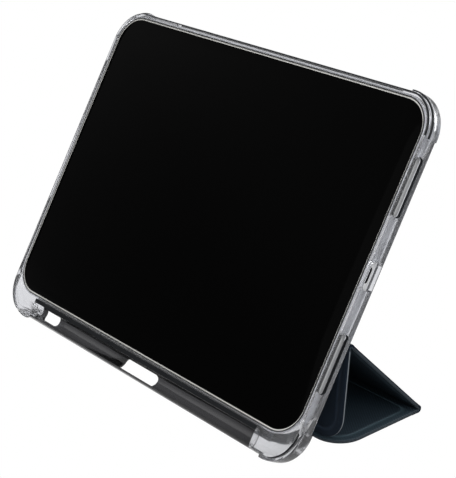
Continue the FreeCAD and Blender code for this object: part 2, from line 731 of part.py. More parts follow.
def make_cover():
    """Two narrow spine strips and three wide panels, joined by bare webs."""
    thin = ("strip_thickness", "stiffener_thickness")
    thick = ("cover_thickness", "board_thickness")
    spine_back = Strip("spine_back", "strip_half_width", "spine_back_length",
                       ("bond_gap", "spine_gap"), thin)
    spine_edge = Strip("spine_edge", "strip_half_width", "spine_edge_length",
                       ("spine_gap", "spine_gap"), thin)
    near = Strip("near", "cover_half_width", "near_length",
                 ("near_gap", "rear_gap"), thick)
    middle = Strip("middle", "cover_half_width", "middle_length",
                   ("rear_gap", "ridge_gap"), thick)
    edge = Strip("edge", "cover_half_width", "edge_length", ("ridge_gap", None), thick)

    make_strip(spine_back)
    make_strip(spine_edge, "stiffener", "stiffener_corner", "stiffener_inset")
    near_board = make_strip(near, "board", "board_corner", "board_inset",
                            ("near_corner", True))
    make_strip(middle, "board", "board_corner", "board_inset")
    edge_board = make_strip(edge, "board", "board_corner", "board_inset",
                            ("edge_corner", False))

    make_crease("bond_crease", "spine_back", "sizes.strip_half_width")
    make_crease("spine_crease", "spine_edge", "sizes.strip_half_width")
    make_crease("near_crease", "near", "sizes.strip_half_width")
    make_crease("rear_crease", "middle", "sizes.cover_half_width - 1")
    make_crease("ridge_crease", "edge", "sizes.cover_half_width - 1")

    strip_size = ("2 * sizes.latch_strip_half_width", "sizes.latch_strip_width",
                  "sizes.latch_strip_thickness")
    strip_place = ("-sizes.latch_strip_half_width",
                   "sizes.near_gap + sizes.board_inset + 1")
    level = "sizes.board_thickness / 2 - sizes.latch_strip_thickness"
    bar_group("latch_strip", "near", [strip_place], strip_size, level, near_board)

    magnet = ("sizes.magnet_length", "sizes.magnet_width", "sizes.board_thickness")
    along = "sizes.edge_length - sizes.magnet_edge_distance"
    places = [(f"sizes.magnet_pitch * {number - (LATCH_MAGNETS - 1) / 2}"
               " - sizes.magnet_length / 2", along) for number in range(LATCH_MAGNETS)]
    level = "-sizes.board_thickness / 2"
    bar_group("latch_magnets", "edge", places, magnet, level, edge_board)
    wake = ("sizes.magnet_width", "sizes.wake_magnet_length", "sizes.board_thickness")
    along = "sizes.edge_length - sizes.wake_magnet_distance"
    places = [("sizes.wake_magnet_across", along),
              ("-sizes.wake_magnet_across - sizes.magnet_width", along)]
    bar_group("wake_magnets", "edge", places, wake, level, edge_board)


# ------------------------------------------------------------ checks and export

def check_document():
    """Stop at a failed object, a bad solid, or a cut that removes nothing."""
    for item in DOC.Objects:
        if "Invalid" in item.State or "Error" in item.State:
            raise RuntimeError(f"{item.Label} failed: {item.State}")
        kind = item.TypeId
        if "Pocket" in kind or "Subtractive" in kind:
            before = item.BaseFeature.Shape.Volume
            if item.Shape.Volume > before - 1e-3:
                raise RuntimeError(f"{item.Label} cuts nothing")
    for node in NODES:
        shape = node.Shape
        if shape.isNull() or not shape.isValid() or not shape.Solids:
            raise RuntimeError(f"{node.Label} has no valid solid")


def centre_on_footprint():
    """Put the origin under the middle of the whole case; the table is Z = 0."""
    boxes = [node.Shape.optimalBoundingBox(False) for node in NODES]
    front = min(box.YMin for box in boxes)
    back = max(box.YMax for box in boxes)
    write_cell("depth_shift", -(front + back) / 2)
    DOC.recompute()


def main():
    make_bumper_frame()
    make_stylus_channel()
    make_back_panel()
    make_bonded_strip()
    make_cover()
    DOC.recompute()
    centre_on_footprint()
    check_document()
    os.makedirs("parts", exist_ok=True)
    for node in NODES:
        node.Shape.exportStep(f"parts/{node.Label}.step")
        print(f"{node.Label}: {node.Shape.Volume:.0f} mm3")
    for strip, (line, angle) in STRIPS.items():
        print(f"{strip}: fold line {line[0]:.2f}, {line[1]:.2f}, direction {angle:.2f}")
    print("origin shift", SHEET.get("depth_shift"), SHEET.get("height_shift"))


main()
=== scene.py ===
# %% [markdown]
# # A folding tablet case, standing on its cover
#
# The case has two halves. The shell is a clear, smoky bumper of soft plastic with a
# hard clear back and a channel for a stylus. The cover is a board book of three
# panels, leather outside and microfibre inside, folded into a triangle that props the
# shell up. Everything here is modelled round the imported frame, so the frame gives all
# places: the joints are the cover's fold lines, and one mount gives the shell's lean.

# %% Load the frame
import json
import math

import bpy
from mathutils import Matrix, Vector


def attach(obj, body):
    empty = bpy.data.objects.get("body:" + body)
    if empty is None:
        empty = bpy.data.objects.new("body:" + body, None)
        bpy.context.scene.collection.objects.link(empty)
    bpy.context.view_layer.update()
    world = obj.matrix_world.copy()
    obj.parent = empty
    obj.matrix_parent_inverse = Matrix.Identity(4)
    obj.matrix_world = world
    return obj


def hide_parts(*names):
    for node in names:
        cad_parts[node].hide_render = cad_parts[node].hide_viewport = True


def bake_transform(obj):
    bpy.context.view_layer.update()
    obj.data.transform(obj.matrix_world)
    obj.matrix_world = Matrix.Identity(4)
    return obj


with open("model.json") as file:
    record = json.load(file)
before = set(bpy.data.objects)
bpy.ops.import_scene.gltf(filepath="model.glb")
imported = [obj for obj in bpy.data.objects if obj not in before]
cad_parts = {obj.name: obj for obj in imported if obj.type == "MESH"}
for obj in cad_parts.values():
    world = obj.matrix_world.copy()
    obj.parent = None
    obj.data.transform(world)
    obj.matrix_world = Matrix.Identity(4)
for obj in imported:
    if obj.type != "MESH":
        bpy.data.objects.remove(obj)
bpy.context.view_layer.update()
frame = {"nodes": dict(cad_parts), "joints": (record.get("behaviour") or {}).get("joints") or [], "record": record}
record = frame["record"]
joints = {joint["name"]: joint for joint in frame["joints"]}

# %% [markdown]
# ## Places
#
# Small parts are easier to model in millimetres, lying flat on the grid, than in
# metres on a slope. So every piece is made flat, and one matrix then turns it, moves it
# and shrinks it to metres. The shell has one such matrix. Each cover strip has its
# own: its Y axis runs from its fold line along the strip, and its Z axis points to the
# leather side.

# %% Shell and strip matrices
MM = 0.001
ACROSS = Vector((1, 0, 0))
BAY_DEPTH = 6.2


def place_matrix(origin, along):
    """Millimetres on the flat to metres in place: X across, Y along, Z out."""
    along = Vector(along).normalized()
    turn = Matrix((ACROSS, along, ACROSS.cross(along))).transposed()
    return Matrix.Translation(origin) @ turn.to_4x4() @ Matrix.Scale(MM, 4)


mounts = {mount["name"]: mount for mount in record["mounts"]}
screen_normal = Vector(mounts["tablet_seat"]["axis"])
glass_centre = Vector(mounts["tablet_seat"]["pos_m"]) + screen_normal * BAY_DEPTH * MM
shell_place = place_matrix(glass_centre, screen_normal.cross(ACROSS))

fold = {name: Vector(joint["pos_m"]) for name, joint in joints.items()}
edge_turn = math.radians(joints["rear_fold"]["range_deg"][1]
                         + joints["ridge_fold"]["range_deg"][1])
FOLDS = ["bond_fold", "spine_fold", "cover_fold", "rear_fold", "ridge_fold"]
STRIPS = ["spine_back", "spine_edge", "near", "middle", "edge"]
steps = {strip: fold[last] - fold[first]
         for strip, first, last in zip(STRIPS, FOLDS, FOLDS[1:])}
strip_length = {strip: step.length / MM for strip, step in steps.items()}
ways = {strip: step.normalized() for strip, step in steps.items()}
ways["edge"] = Vector((0, math.cos(edge_turn), math.sin(edge_turn)))
strip_place = {strip: place_matrix(fold[first], ways[strip])
               for strip, first in zip(STRIPS, FOLDS)}
print("screen leans back", round(90 - math.degrees(math.asin(-screen_normal.y)), 1))

# %% [markdown]
# ## Colours and shader nodes
#
# Colours are written as the hex values that a painter would pick on a screen, and
# turned to the linear values that the renderer computes with. One small function adds
# a node, sets its fields and joins its inputs, so that a material reads from top to
# bottom like a recipe.

# %% Colour and node helpers
# The sockets of a colour Mix node: its factor, its two colours and its result.
MIX_FACTOR, MIX_A, MIX_B, MIX_OUT = 0, 6, 7, 2


def linear(hex_colour):
    """sRGB hex to linear red, green, blue and alpha."""
    channels = [int(hex_colour[i:i + 2], 16) / 255 for i in (1, 3, 5)]
    return (*[c / 12.92 if c <= 0.04045 else ((c + 0.055) / 1.055) ** 2.4
              for c in channels], 1.0)


def new_material(name):
    """An empty node material, and its tree."""
    material = bpy.data.materials.new(name)
    material.use_nodes = True
    material.node_tree.nodes.clear()
    return material, material.node_tree


def add(tree, kind, inputs=None, **fields):
    """One node, with its fields set and its inputs set or joined."""
    node = tree.nodes.new(kind)
    for name, value in fields.items():
        setattr(node, name, value)
    for name, value in (inputs or {}).items():
        if isinstance(value, bpy.types.NodeSocket):
            tree.links.new(value, node.inputs[name])
        else:
            node.inputs[name].default_value = value
    return node


def finish_material(tree, shader, output="ShaderNodeOutputMaterial"):
    """Join the shader to the output, which is the material's unless another is named."""
    add(tree, output, {"Surface": shader.outputs[0]})


# %% [markdown]
# ## Clear plastics
#
# The bumper and the channel are TPU, a soft urethane plastic that is moulded clear
# with a smoky tint. Its polished mould gives a glossy skin that is never quite flat,
# so a slow ripple bends the reflections. The back is polycarbonate: harder, clearer
# and flatter. Both are glass-like, with an index near 1.5, and the tint is the colour
# that light takes each time it crosses the skin. A handled clear case also carries a
# faint haze, which here varies the roughness.

# %% Clear plastic materials
TPU_INDEX, POLYCARBONATE_INDEX = 1.48, 1.58
SMUDGE_MM = 16.7


def clear_plastic(name, tint, index, haze, ripple_mm, ripple_depth, clearness, gloss=0.5):
    """Tinted clear plastic with a rippled, slightly hazy skin."""
    material, tree = new_material(name)
    place = add(tree, "ShaderNodeTexCoord")
    ripple = add(tree, "ShaderNodeTexNoise", {
        "Vector": place.outputs["Object"], "Scale": 1 / (ripple_mm * MM), "Detail": 2.0})
    smudge = add(tree, "ShaderNodeTexNoise", {
        "Vector": place.outputs["Object"], "Scale": 1 / (SMUDGE_MM * MM), "Detail": 4.0})
    rough = add(tree, "ShaderNodeMapRange", {
        "Value": smudge.outputs["Fac"], "From Min": 0.3, "From Max": 0.75,
        "To Min": haze, "To Max": haze * 2.5})
    bump = add(tree, "ShaderNodeBump", {
        "Height": ripple.outputs["Fac"], "Strength": 0.35, "Distance": ripple_depth * MM})
    shader = add(tree, "ShaderNodeBsdfPrincipled", {
        "Base Color": linear(tint), "Roughness": rough.outputs["Result"],
        "IOR": index, "Transmission Weight": clearness, "Specular IOR Level": gloss,
        "Normal": bump.outputs["Normal"]})
    finish_material(tree, shader)
    return material


smoky_tpu = clear_plastic("moulded_smoky_tpu", "#e8e9ed", TPU_INDEX, haze=0.07,
                          ripple_mm=9.0, ripple_depth=0.10, clearness=0.95)
# The channel has a much darker tint than the frame: painted shade, for the shadowed table seen through it.
shaded_channel_tpu = clear_plastic("moulded_channel_tpu_painted_shade", "#48484a", TPU_INDEX, haze=0.06,
                            ripple_mm=9.0, ripple_depth=0.15, clearness=0.85)
# Near black and almost opaque: painted dark refraction for the outer roundings, the slots' walls and the lip in
# front of the channel.
dark_refraction_tpu = clear_plastic("smoky_tpu_painted_dark_refraction", "#0e1115", TPU_INDEX, haze=0.25,
                         ripple_mm=9.0, ripple_depth=0.10, clearness=0.10, gloss=0.15)
clear_back = clear_plastic("polished_polycarbonate", "#e9edf0", POLYCARBONATE_INDEX,
                           haze=0.03, ripple_mm=40.0, ripple_depth=0.10, clearness=1.0)
print("clear plastics", smoky_tpu.name, shaded_channel_tpu.name, dark_refraction_tpu.name, clear_back.name)

# %% [markdown]
# ## Leather and microfibre
#
# The outside is split leather under a polyurethane coat, embossed with a fine cross
# grain: two sets of ridges at right angles, both slanted to the edges. Such ridges are
# typically about 0.5 mm apart. They are drawn 1.3 mm apart, because finer ones vanish
# in the render. Two wave textures make them, and a noise breaks their height so that no
# two pores match. The inside is brushed microfibre, with short naps that lie in patches:
# a stretched noise for the fibres, a slow one for the patches, and sheen at the edges.
# Each skin also carries a painted highlight value on its points, highest along the
# pressed border's groove, and the colour is paler where it is high.

# %% Cover materials
# A wave texture has one wave in this length at scale 1.
WAVE_AT_SCALE_ONE = math.tau / 20
# Real pores and fibres are finer than these, which are as coarse as they need to show.
PORE_MM, LEATHER_PATCH_MM = 1.11, 33.3
FIBRE_MM, NAP_PATCH_MM = 0.625, 20.0


def with_painted_highlight(tree, colour, rim):
    """The colour, paler where the skin's painted highlight value is high."""
    painted_highlight = add(tree, "ShaderNodeAttribute", attribute_name="painted_highlight")
    return add(tree, "ShaderNodeMix", {
        MIX_FACTOR: painted_highlight.outputs["Fac"], MIX_A: colour.outputs[MIX_OUT],
        MIX_B: linear(rim)}, data_type="RGBA")


def cross_grain_leather(name, base, worn, rim, pitch_mm):
    """Coated leather with an embossed cross grain."""
    material, tree = new_material(name)
    surface = add(tree, "ShaderNodeUVMap", uv_map="strip_mm")
    ridges = []
    for turn in (35, -55):
        turned = add(tree, "ShaderNodeMapping", {
            "Vector": surface.outputs["UV"], "Rotation": (0, 0, math.radians(turn))})
        ridges.append(add(tree, "ShaderNodeTexWave", {
            "Vector": turned.outputs["Vector"], "Scale": WAVE_AT_SCALE_ONE / pitch_mm,
            "Distortion": 1.2, "Detail": 1.0, "Detail Scale": 2.0}, wave_profile="SIN"))
    grain = add(tree, "ShaderNodeMath", {
        0: ridges[0].outputs["Fac"], 1: ridges[1].outputs["Fac"]}, operation="MULTIPLY")
    pores = add(tree, "ShaderNodeTexNoise", {
        "Vector": surface.outputs["UV"], "Scale": 1 / PORE_MM, "Detail": 5.0})
    height = add(tree, "ShaderNodeMath", {
        0: grain.outputs[0], 1: pores.outputs["Fac"]}, operation="ADD")
    patches = add(tree, "ShaderNodeTexNoise", {
        "Vector": surface.outputs["UV"], "Scale": 1 / LEATHER_PATCH_MM, "Detail": 3.0})
    colour = add(tree, "ShaderNodeMix", {
        MIX_FACTOR: grain.outputs[0], MIX_A: linear(base), MIX_B: linear(worn)},
        data_type="RGBA")
    highlighted_colour = with_painted_highlight(tree, colour, rim)
    rough = add(tree, "ShaderNodeMapRange", {
        "Value": patches.outputs["Fac"], "From Min": 0.3, "From Max": 0.7,
        "To Min": 0.50, "To Max": 0.64})
    bump = add(tree, "ShaderNodeBump", {
        "Height": height.outputs[0], "Strength": 0.6, "Distance": 0.12 * MM})
    shader = add(tree, "ShaderNodeBsdfPrincipled", {
        "Base Color": highlighted_colour.outputs[MIX_OUT], "Roughness": rough.outputs["Result"],
        "Specular IOR Level": 0.32, "Normal": bump.outputs["Normal"]})
    finish_material(tree, shader)
    return material


def brushed_microfibre(name, base, light, rim):
    """Short brushed nap in patches, with a soft sheen."""
    material, tree = new_material(name)
    surface = add(tree, "ShaderNodeUVMap", uv_map="strip_mm")
    stretched = add(tree, "ShaderNodeMapping", {
        "Vector": surface.outputs["UV"], "Scale": (2.2, 0.7, 1.0)})
    fibres = add(tree, "ShaderNodeTexNoise", {
        "Vector": stretched.outputs["Vector"], "Scale": 1 / FIBRE_MM, "Detail": 6.0,
        "Roughness": 0.7})
    patches = add(tree, "ShaderNodeTexNoise", {
        "Vector": surface.outputs["UV"], "Scale": 1 / NAP_PATCH_MM, "Detail": 2.0})
    mixed = add(tree, "ShaderNodeMath", {
        0: fibres.outputs["Fac"], 1: patches.outputs["Fac"]}, operation="MULTIPLY")
    ramp = add(tree, "ShaderNodeMapRange", {
        "Value": mixed.outputs[0], "From Min": 0.12, "From Max": 0.42})
    colour = add(tree, "ShaderNodeMix", {
        MIX_FACTOR: ramp.outputs["Result"], MIX_A: linear(base), MIX_B: linear(light)},
        data_type="RGBA")
    highlighted_colour = with_painted_highlight(tree, colour, rim)
    bump = add(tree, "ShaderNodeBump", {
        "Height": fibres.outputs["Fac"], "Strength": 0.5, "Distance": 0.1 * MM})
    shader = add(tree, "ShaderNodeBsdfPrincipled", {
        "Base Color": highlighted_colour.outputs[MIX_OUT], "Roughness": 0.95,
        "Specular IOR Level": 0.1, "Sheen Weight": 0.06, "Sheen Roughness": 0.4,
        "Normal": bump.outputs["Normal"]})
    finish_material(tree, shader)
    return material


# The last colour of each is the painted highlight on the pressed border.
navy_leather = cross_grain_leather("coated_split_leather", "#18222a", "#31404a",
                                   "#43555e", pitch_mm=1.3)
navy_lining = brushed_microfibre("brushed_microfibre", "#121a24", "#1d2733", "#2e3946")
print("cover materials", navy_leather.name, navy_lining.name)

# %% [markdown]
# ## Hidden and small materials
#
# The boards are grey pulp board, the strip that the magnets grip is rolled steel, and
# the magnets are nickel plated against rust. The cut edge of a panel is painted to seal
# it, and on the edge panel it is paler: a painted highlight. Nobody sees most of these until the case is
# taken apart, but each still gets the mark of how it is made: pulp flecks, rolling
# lines, plating that is almost a mirror.

# %% Hidden and small materials


def flecked(name, dark, light, fleck_mm, roughness, metallic=0.0, stretch=(1, 1, 1)):
    """A material whose colour and height follow one noise."""
    material, tree = new_material(name)
    place = add(tree, "ShaderNodeTexCoord")
    stretched = add(tree, "ShaderNodeMapping", {
        "Vector": place.outputs["Object"], "Scale": stretch})
    noise = add(tree, "ShaderNodeTexNoise", {
        "Vector": stretched.outputs["Vector"], "Scale": 1 / (fleck_mm * MM), "Detail": 5.0})
    colour = add(tree, "ShaderNodeMix", {
        MIX_FACTOR: noise.outputs["Fac"], MIX_A: linear(dark), MIX_B: linear(light)},
        data_type="RGBA")
    bump = add(tree, "ShaderNodeBump", {
        "Height": noise.outputs["Fac"], "Strength": 0.3, "Distance": 0.05 * MM})
    shader = add(tree, "ShaderNodeBsdfPrincipled", {
        "Base Color": colour.outputs[MIX_OUT], "Roughness": roughness,
        "Metallic": metallic, "Normal": bump.outputs["Normal"]})
    finish_material(tree, shader)
    return material


pulp_board = flecked("grey_pulp_board", "#6f6b63", "#8b877e", 1.1, 0.9)
# Rolling draws the flecks out along the strip, into lines twenty times as long.
rolled_steel = flecked("rolled_strip_steel", "#8d8f92", "#b0b2b4", 2.0, 0.35, 1.0,
                       (0.05, 1, 1))
nickel = flecked("nickel_plate", "#b9b5ac", "#c9c6bf", 5.0, 0.16, 1.0)
bond_film = flecked("bonding_film", "#2a2f35", "#383e45", 3.3, 0.5)
# Paler than the dark cut edge: a painted highlight, used on the edge panel only.
highlighted_cut_edge = flecked("cut_edge_painted_highlight", "#6d7378", "#8f959a", 1.43, 0.55)
dark_edge = flecked("dark_cut_edge", "#1b242b", "#2b363e", 1.43, 0.6)
print("materials so far", len(bpy.data.materials))

# %% [markdown]
# ## Modelling helpers
#
# An operator acts on everything that is selected, so each piece starts from an empty
# selection. The helpers below do what a hand does in the viewport: add a plane, round
# its corners, push it up into a plate, cut one solid with another. Finished pieces are
# put in place by their mesh, so that every object stays at the origin.

# %% Modelling helpers
SAME_PLACE = 1e-4
SMOOTH_UP_TO = 38


def only(piece):
    """Make this the one selected and active object."""
    bpy.ops.object.select_all(action="DESELECT")
    piece.select_set(True)
    bpy.context.view_layer.objects.active = piece
    return piece


def new_from_operator(name):
    """Name the object that an operator has just added."""
    piece = bpy.context.active_object
    piece.name = name
    piece.data.name = name
    return only(piece)


def bake_place(piece):
    """Put the object's own place, turn and size into its mesh."""
    piece.data.transform(piece.matrix_basis)
    piece.matrix_basis = Matrix.Identity(4)
    return piece


def choose(piece, kind, test):
    """In edit mode, select only the vertices or faces that pass a test."""
    bpy.ops.object.mode_set(mode="EDIT")
    bpy.ops.mesh.select_mode(type=kind)
    bpy.ops.mesh.select_all(action="DESELECT")
    bpy.ops.object.mode_set(mode="OBJECT")
    mesh = piece.data
    places = {"VERT": (mesh.vertices, lambda vertex: vertex.co),
              "FACE": (mesh.polygons, lambda face: face.center)}
    items, place_of = places[kind]
    for item in items:
        item.select = test(place_of(item))
    bpy.ops.object.mode_set(mode="EDIT")


def delete_faces(piece, test, kind="FACE"):
    """Delete the faces that pass a test."""
    choose(piece, "FACE", test)
    bpy.ops.mesh.delete(type=kind)
    bpy.ops.object.mode_set(mode="OBJECT")


def turn_outward():
    """Turn all normals of the mesh that is being edited outwards, and stop editing."""
    bpy.ops.mesh.select_all(action="SELECT")
    bpy.ops.mesh.normals_make_consistent(inside=False)
    bpy.ops.object.mode_set(mode="OBJECT")


def push_up(bottom, top):
    """Move the active sheet to one level and push it up to another."""
    bpy.ops.object.mode_set(mode="EDIT")
    bpy.ops.mesh.select_all(action="SELECT")
    bpy.ops.transform.translate(value=(0, 0, bottom))
    bpy.ops.mesh.extrude_region_move(TRANSFORM_OT_translate={"value": (0, 0, top - bottom)})
    turn_outward()


def rounded_sheet(name, left, right, low, high, corners, segments=14):
    """A flat face whose corners are rounded; corners is a radius for each end in Y."""
    bpy.ops.object.select_all(action="DESELECT")
    bpy.ops.mesh.primitive_plane_add(size=1)
    piece = new_from_operator(name)
    piece.scale = (right - left, high - low, 1)
    piece.location = ((left + right) / 2, (low + high) / 2, 0)
    bake_place(piece)
    for end, radius in zip((low, high), corners):
        choose(piece, "VERT", lambda co: abs(co.y - end) < SAME_PLACE
               and min(abs(co.x - left), abs(co.x - right)) < SAME_PLACE)
        bpy.ops.mesh.bevel(offset=radius, offset_type="OFFSET", affect="VERTICES",
                           segments=segments)
        bpy.ops.object.mode_set(mode="OBJECT")
    return piece


def plate(name, left, right, low, high, corner, bottom, top, segments=14):
    """A rounded plate between two levels."""
    piece = rounded_sheet(name, left, right, low, high, (corner, corner), segments)
    push_up(bottom, top)
    return piece


def side_plate(name, low, high, inner, outer, corner, start, end):
    """A rounded plate that faces along X: low to high in Y, inner to outer in Z."""
    piece = plate(name, low, high, inner, outer, corner, start, end, 6)
    turn = Matrix(((0, 0, 1, 0), (1, 0, 0, 0), (0, 1, 0, 0), (0, 0, 0, 1)))
    piece.data.transform(turn)
    return piece


def rod(name, radius, left, right, y, z, vertices=96):
    """A cylinder along X."""
    bpy.ops.object.select_all(action="DESELECT")
    bpy.ops.mesh.primitive_cylinder_add(
        radius=radius, depth=right - left, vertices=vertices,
        location=((left + right) / 2, y, z), rotation=(0, math.pi / 2, 0))
    return bake_place(new_from_operator(name))


def box(name, low, high):
    """A block between two corners."""
    bpy.ops.object.select_all(action="DESELECT")
    bpy.ops.mesh.primitive_cube_add(size=1)
    piece = new_from_operator(name)
    piece.scale = [b - a for a, b in zip(low, high)]
    piece.location = [(a + b) / 2 for a, b in zip(low, high)]
    return bake_place(piece)


def apply(piece, kind, **fields):
    """Add a modifier, set it and apply it."""
    only(piece)
    modifier = piece.modifiers.new(kind.title(), kind)
    for name, value in fields.items():
        setattr(modifier, name, value)
    bpy.ops.object.modifier_apply(modifier=modifier.name)
    return piece


def combine(piece, tool, operation="DIFFERENCE"):
    """Cut, join or intersect with another solid, which is used up."""
    apply(piece, "BOOLEAN", operation=operation, object=tool, solver="EXACT")
    bpy.data.objects.remove(tool)
    return piece


def merge(piece):
    """Merge the near-doubles that cuts leave along their seams."""
    only(piece)
    bpy.ops.object.mode_set(mode="EDIT")
    bpy.ops.mesh.select_all(action="SELECT")
    bpy.ops.mesh.remove_doubles(threshold=0.01)
    bpy.ops.mesh.dissolve_degenerate(threshold=0.005)
    bpy.ops.object.mode_set(mode="OBJECT")
    return piece


def soften(piece, width, segments=3, angle=35):
    """Round every edge that is sharper than the angle."""
    return apply(piece, "BEVEL", width=width, segments=segments,
                 limit_method="ANGLE", angle_limit=math.radians(angle))


def place(piece, matrix, material, body=None, nodes=(), slot=None, edge=None, at=None):
    """Put a finished piece where it belongs and hand it to the frame.

    Faces whose centre passes the test `at`, in millimetres on the flat, get the
    material `edge`.
    """
    piece.data.materials.clear()
    piece.data.materials.append(material)
    if edge:
        piece.data.materials.append(edge)
    for face in piece.data.polygons:
        face.material_index = 1 if edge and at(face.center) else 0
    piece.data.transform(matrix)
    only(piece)
    bpy.ops.object.shade_smooth_by_angle(angle=math.radians(SMOOTH_UP_TO))
    if body:
        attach(piece, body)
    if nodes:
        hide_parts(*nodes)
    print(piece.name, len(piece.data.polygons), "faces")
    return piece


# %% [markdown]
# ## Camera, light and floor
#
# A long lens from the right and a little above gives the strong three-quarter view of
# a catalogue shot. The set is white all round to the eye. What the case mirrors and
# bends is different, as in a real studio: a lit table top, a bright tent overhead and
# grey cards low down all round, because clear plastic on white has no outline until
# darker cards give it one. The table darkens towards the right end of the case, so the
# right corner looks smokier. So the sky and the floor have one shader for the camera's
# rays, one for gloss and clear plastic, and one that only gives light.

# %% Camera
CAMERA_OFFSET = Vector((0.5523, -0.4510, 0.2714))
LOOK_OFFSET = Vector((0.0147, 0.0066, -0.0176))

camera_data = bpy.data.cameras.new("camera")
camera = bpy.data.objects.new("camera", camera_data)
bpy.context.scene.collection.objects.link(camera)
camera_data.lens = 105.6
camera_data.sensor_width = 36
camera.location = glass_centre + CAMERA_OFFSET
look = glass_centre + LOOK_OFFSET - camera.location
camera.rotation_euler = look.to_track_quat("-Z", "Y").to_euler()
bpy.context.scene.camera = camera
bpy.context.scene.view_settings.view_transform = "Standard"
print("camera stands", round((camera.location - glass_centre).length, 2), "m away")

# %% World, floor and lights
WHITE = (1, 1, 1, 1)


def by_ray(tree, seen, mirrored, lighting):
    """One shader for the camera's rays, one for gloss and clear plastic, one for light."""
    path = add(tree, "ShaderNodeLightPath")
    sharp = add(tree, "ShaderNodeMath", {
        0: path.outputs["Is Glossy Ray"], 1: path.outputs["Is Transmission Ray"]},
        operation="MAXIMUM")
    inner = add(tree, "ShaderNodeMixShader", {
        "Fac": sharp.outputs[0], 1: lighting.outputs[0], 2: mirrored.outputs[0]})
    return add(tree, "ShaderNodeMixShader", {
        "Fac": path.outputs["Is Camera Ray"], 1: inner.outputs[0], 2: seen.outputs[0]})


world = bpy.data.worlds.new("white_studio")
bpy.context.scene.world = world
world.use_nodes = True
sky_tree = world.node_tree
sky_tree.nodes.clear()
direction = add(sky_tree, "ShaderNodeTexCoord")
rise = add(sky_tree, "ShaderNodeSeparateXYZ", {"Vector": direction.outputs["Generated"]})
overhead = add(sky_tree, "ShaderNodeMapRange", {
    "Value": rise.outputs["Z"], "From Min": 0.05, "From Max": 0.55,
    "To Min": 0.30, "To Max": 0.95}, interpolation_type="SMOOTHSTEP")
sky_seen = add(sky_tree, "ShaderNodeBackground", {"Color": WHITE, "Strength": 1.0})
sky_mirrored = add(sky_tree, "ShaderNodeBackground", {
    "Color": WHITE, "Strength": overhead.outputs["Result"]})
sky_light = add(sky_tree, "ShaderNodeBackground", {"Color": WHITE, "Strength": 0.4})
finish_material(sky_tree, by_ray(sky_tree, sky_seen, sky_mirrored, sky_light),
                "ShaderNodeOutputWorld")

bpy.ops.object.select_all(action="DESELECT")
bpy.ops.mesh.primitive_plane_add(size=8, location=(0, 0, -0.0002))
floor = bake_place(new_from_operator("floor"))
floor_material, floor_tree = new_material("white_sweep")
floor_place = add(floor_tree, "ShaderNodeTexCoord")
reach = add(floor_tree, "ShaderNodeVectorMath", {
    0: floor_place.outputs["Object"]}, operation="LENGTH")
table_light = add(floor_tree, "ShaderNodeMapRange", {
    "Value": reach.outputs["Value"], "From Min": 0.50, "From Max": 0.85,
    "To Min": 0.92, "To Max": 0.35}, interpolation_type="SMOOTHSTEP")
side_split = add(floor_tree, "ShaderNodeSeparateXYZ", {
    "Vector": floor_place.outputs["Object"]})
side_fall = add(floor_tree, "ShaderNodeMapRange", {
    "Value": side_split.outputs["X"], "From Min": 0.05, "From Max": 0.13,
    "To Min": 1.0, "To Max": 0.66}, interpolation_type="SMOOTHSTEP")
table_glow = add(floor_tree, "ShaderNodeMath", {
    0: table_light.outputs["Result"], 1: side_fall.outputs["Result"]}, operation="MULTIPLY")
floor_seen = add(floor_tree, "ShaderNodeEmission", {"Color": WHITE, "Strength": 1.0})
floor_mirrored = add(floor_tree, "ShaderNodeEmission", {
    "Color": WHITE, "Strength": table_glow.outputs[0]})
floor_light = add(floor_tree, "ShaderNodeBsdfDiffuse", {"Color": linear("#a8a8a8")})
finish_material(floor_tree, by_ray(floor_tree, floor_seen, floor_mirrored, floor_light))
floor.data.materials.append(floor_material)


def softbox(name, location, size, power):
    """A square area light that faces the case."""
    data = bpy.data.lights.new(name, "AREA")
    data.size = size
    data.energy = power
    lamp = bpy.data.objects.new(name, data)
    bpy.context.scene.collection.objects.link(lamp)
    lamp.location = location
    lamp.rotation_euler = (glass_centre - lamp.location).to_track_quat("-Z", "Y").to_euler()
    return lamp


softbox("key_light", Vector((1.1, -0.5, 1.1)), 0.8, 9)
softbox("fill_light", Vector((-0.2, -1.5, 0.9)), 1.0, 5)
softbox("back_light", Vector((0.7, 1.1, 0.7)), 0.8, 7)
print("lights", len(bpy.data.lights))

# %% [markdown]
# ## The bumper frame
#
# The real frame is one moulding: a soft wall all round, a lip that holds the glass, a
# ledge behind for the hard back, four fat corners that take a fall, and slots for the
# speakers, the cable and the buttons. It could be swept as one section round a
# rounded rectangle, but the stylus side is much wider than the others. So it is cut
# from a block instead, as its mould is: plates of the right size take away the bay,
# the ledge and the slots, and a fine bevel then rounds every edge that is left.

# %% Frame sizes, in millimetres
FRAME_HALF = 125.7
FRAME_TOP = 91.5
FRAME_CORNER = 19.0
FRAME_FRONT = 0.9
FRAME_BACK = -9.1
FRAME_ROUND, FINE_ROUND = 0.8, 0.22
CHANNEL_Y, CHANNEL_Z = -96.5, -3.2
CHANNEL_OUTER, CHANNEL_BORE = 5.95, 4.75
CHANNEL_HALF = 99.0
# The bed is cut this much under size, so that it never coincides with the underside.
BED_TIGHT = 0.03
FOOT_Y, FOOT_Z, FOOT_RADIUS = -96.9, -2.4, 6.9
FRAME_LOW = CHANNEL_Y - CHANNEL_OUTER
BAY_HALF, BAY_HIGH, BAY_CORNER = 124.1, 89.55, 17.6
LIP = 1.3
SEAT_HALF, SEAT_LOW, SEAT_HIGH, SEAT_CORNER = 119.0, -81.0, 83.0, 12.0
PANEL_THICK = 1.8
LEDGE = 2.5
CUSHION_REACH = 1.2
CUSHION_LENGTH = 20.0
CUSHION_BACK, CUSHION_FRONT = -8.5, -1.2
CAMERA_X, CAMERA_Y, CAMERA_HALF, CAMERA_CORNER = -109.5, 75.0, 12.0, 7.0
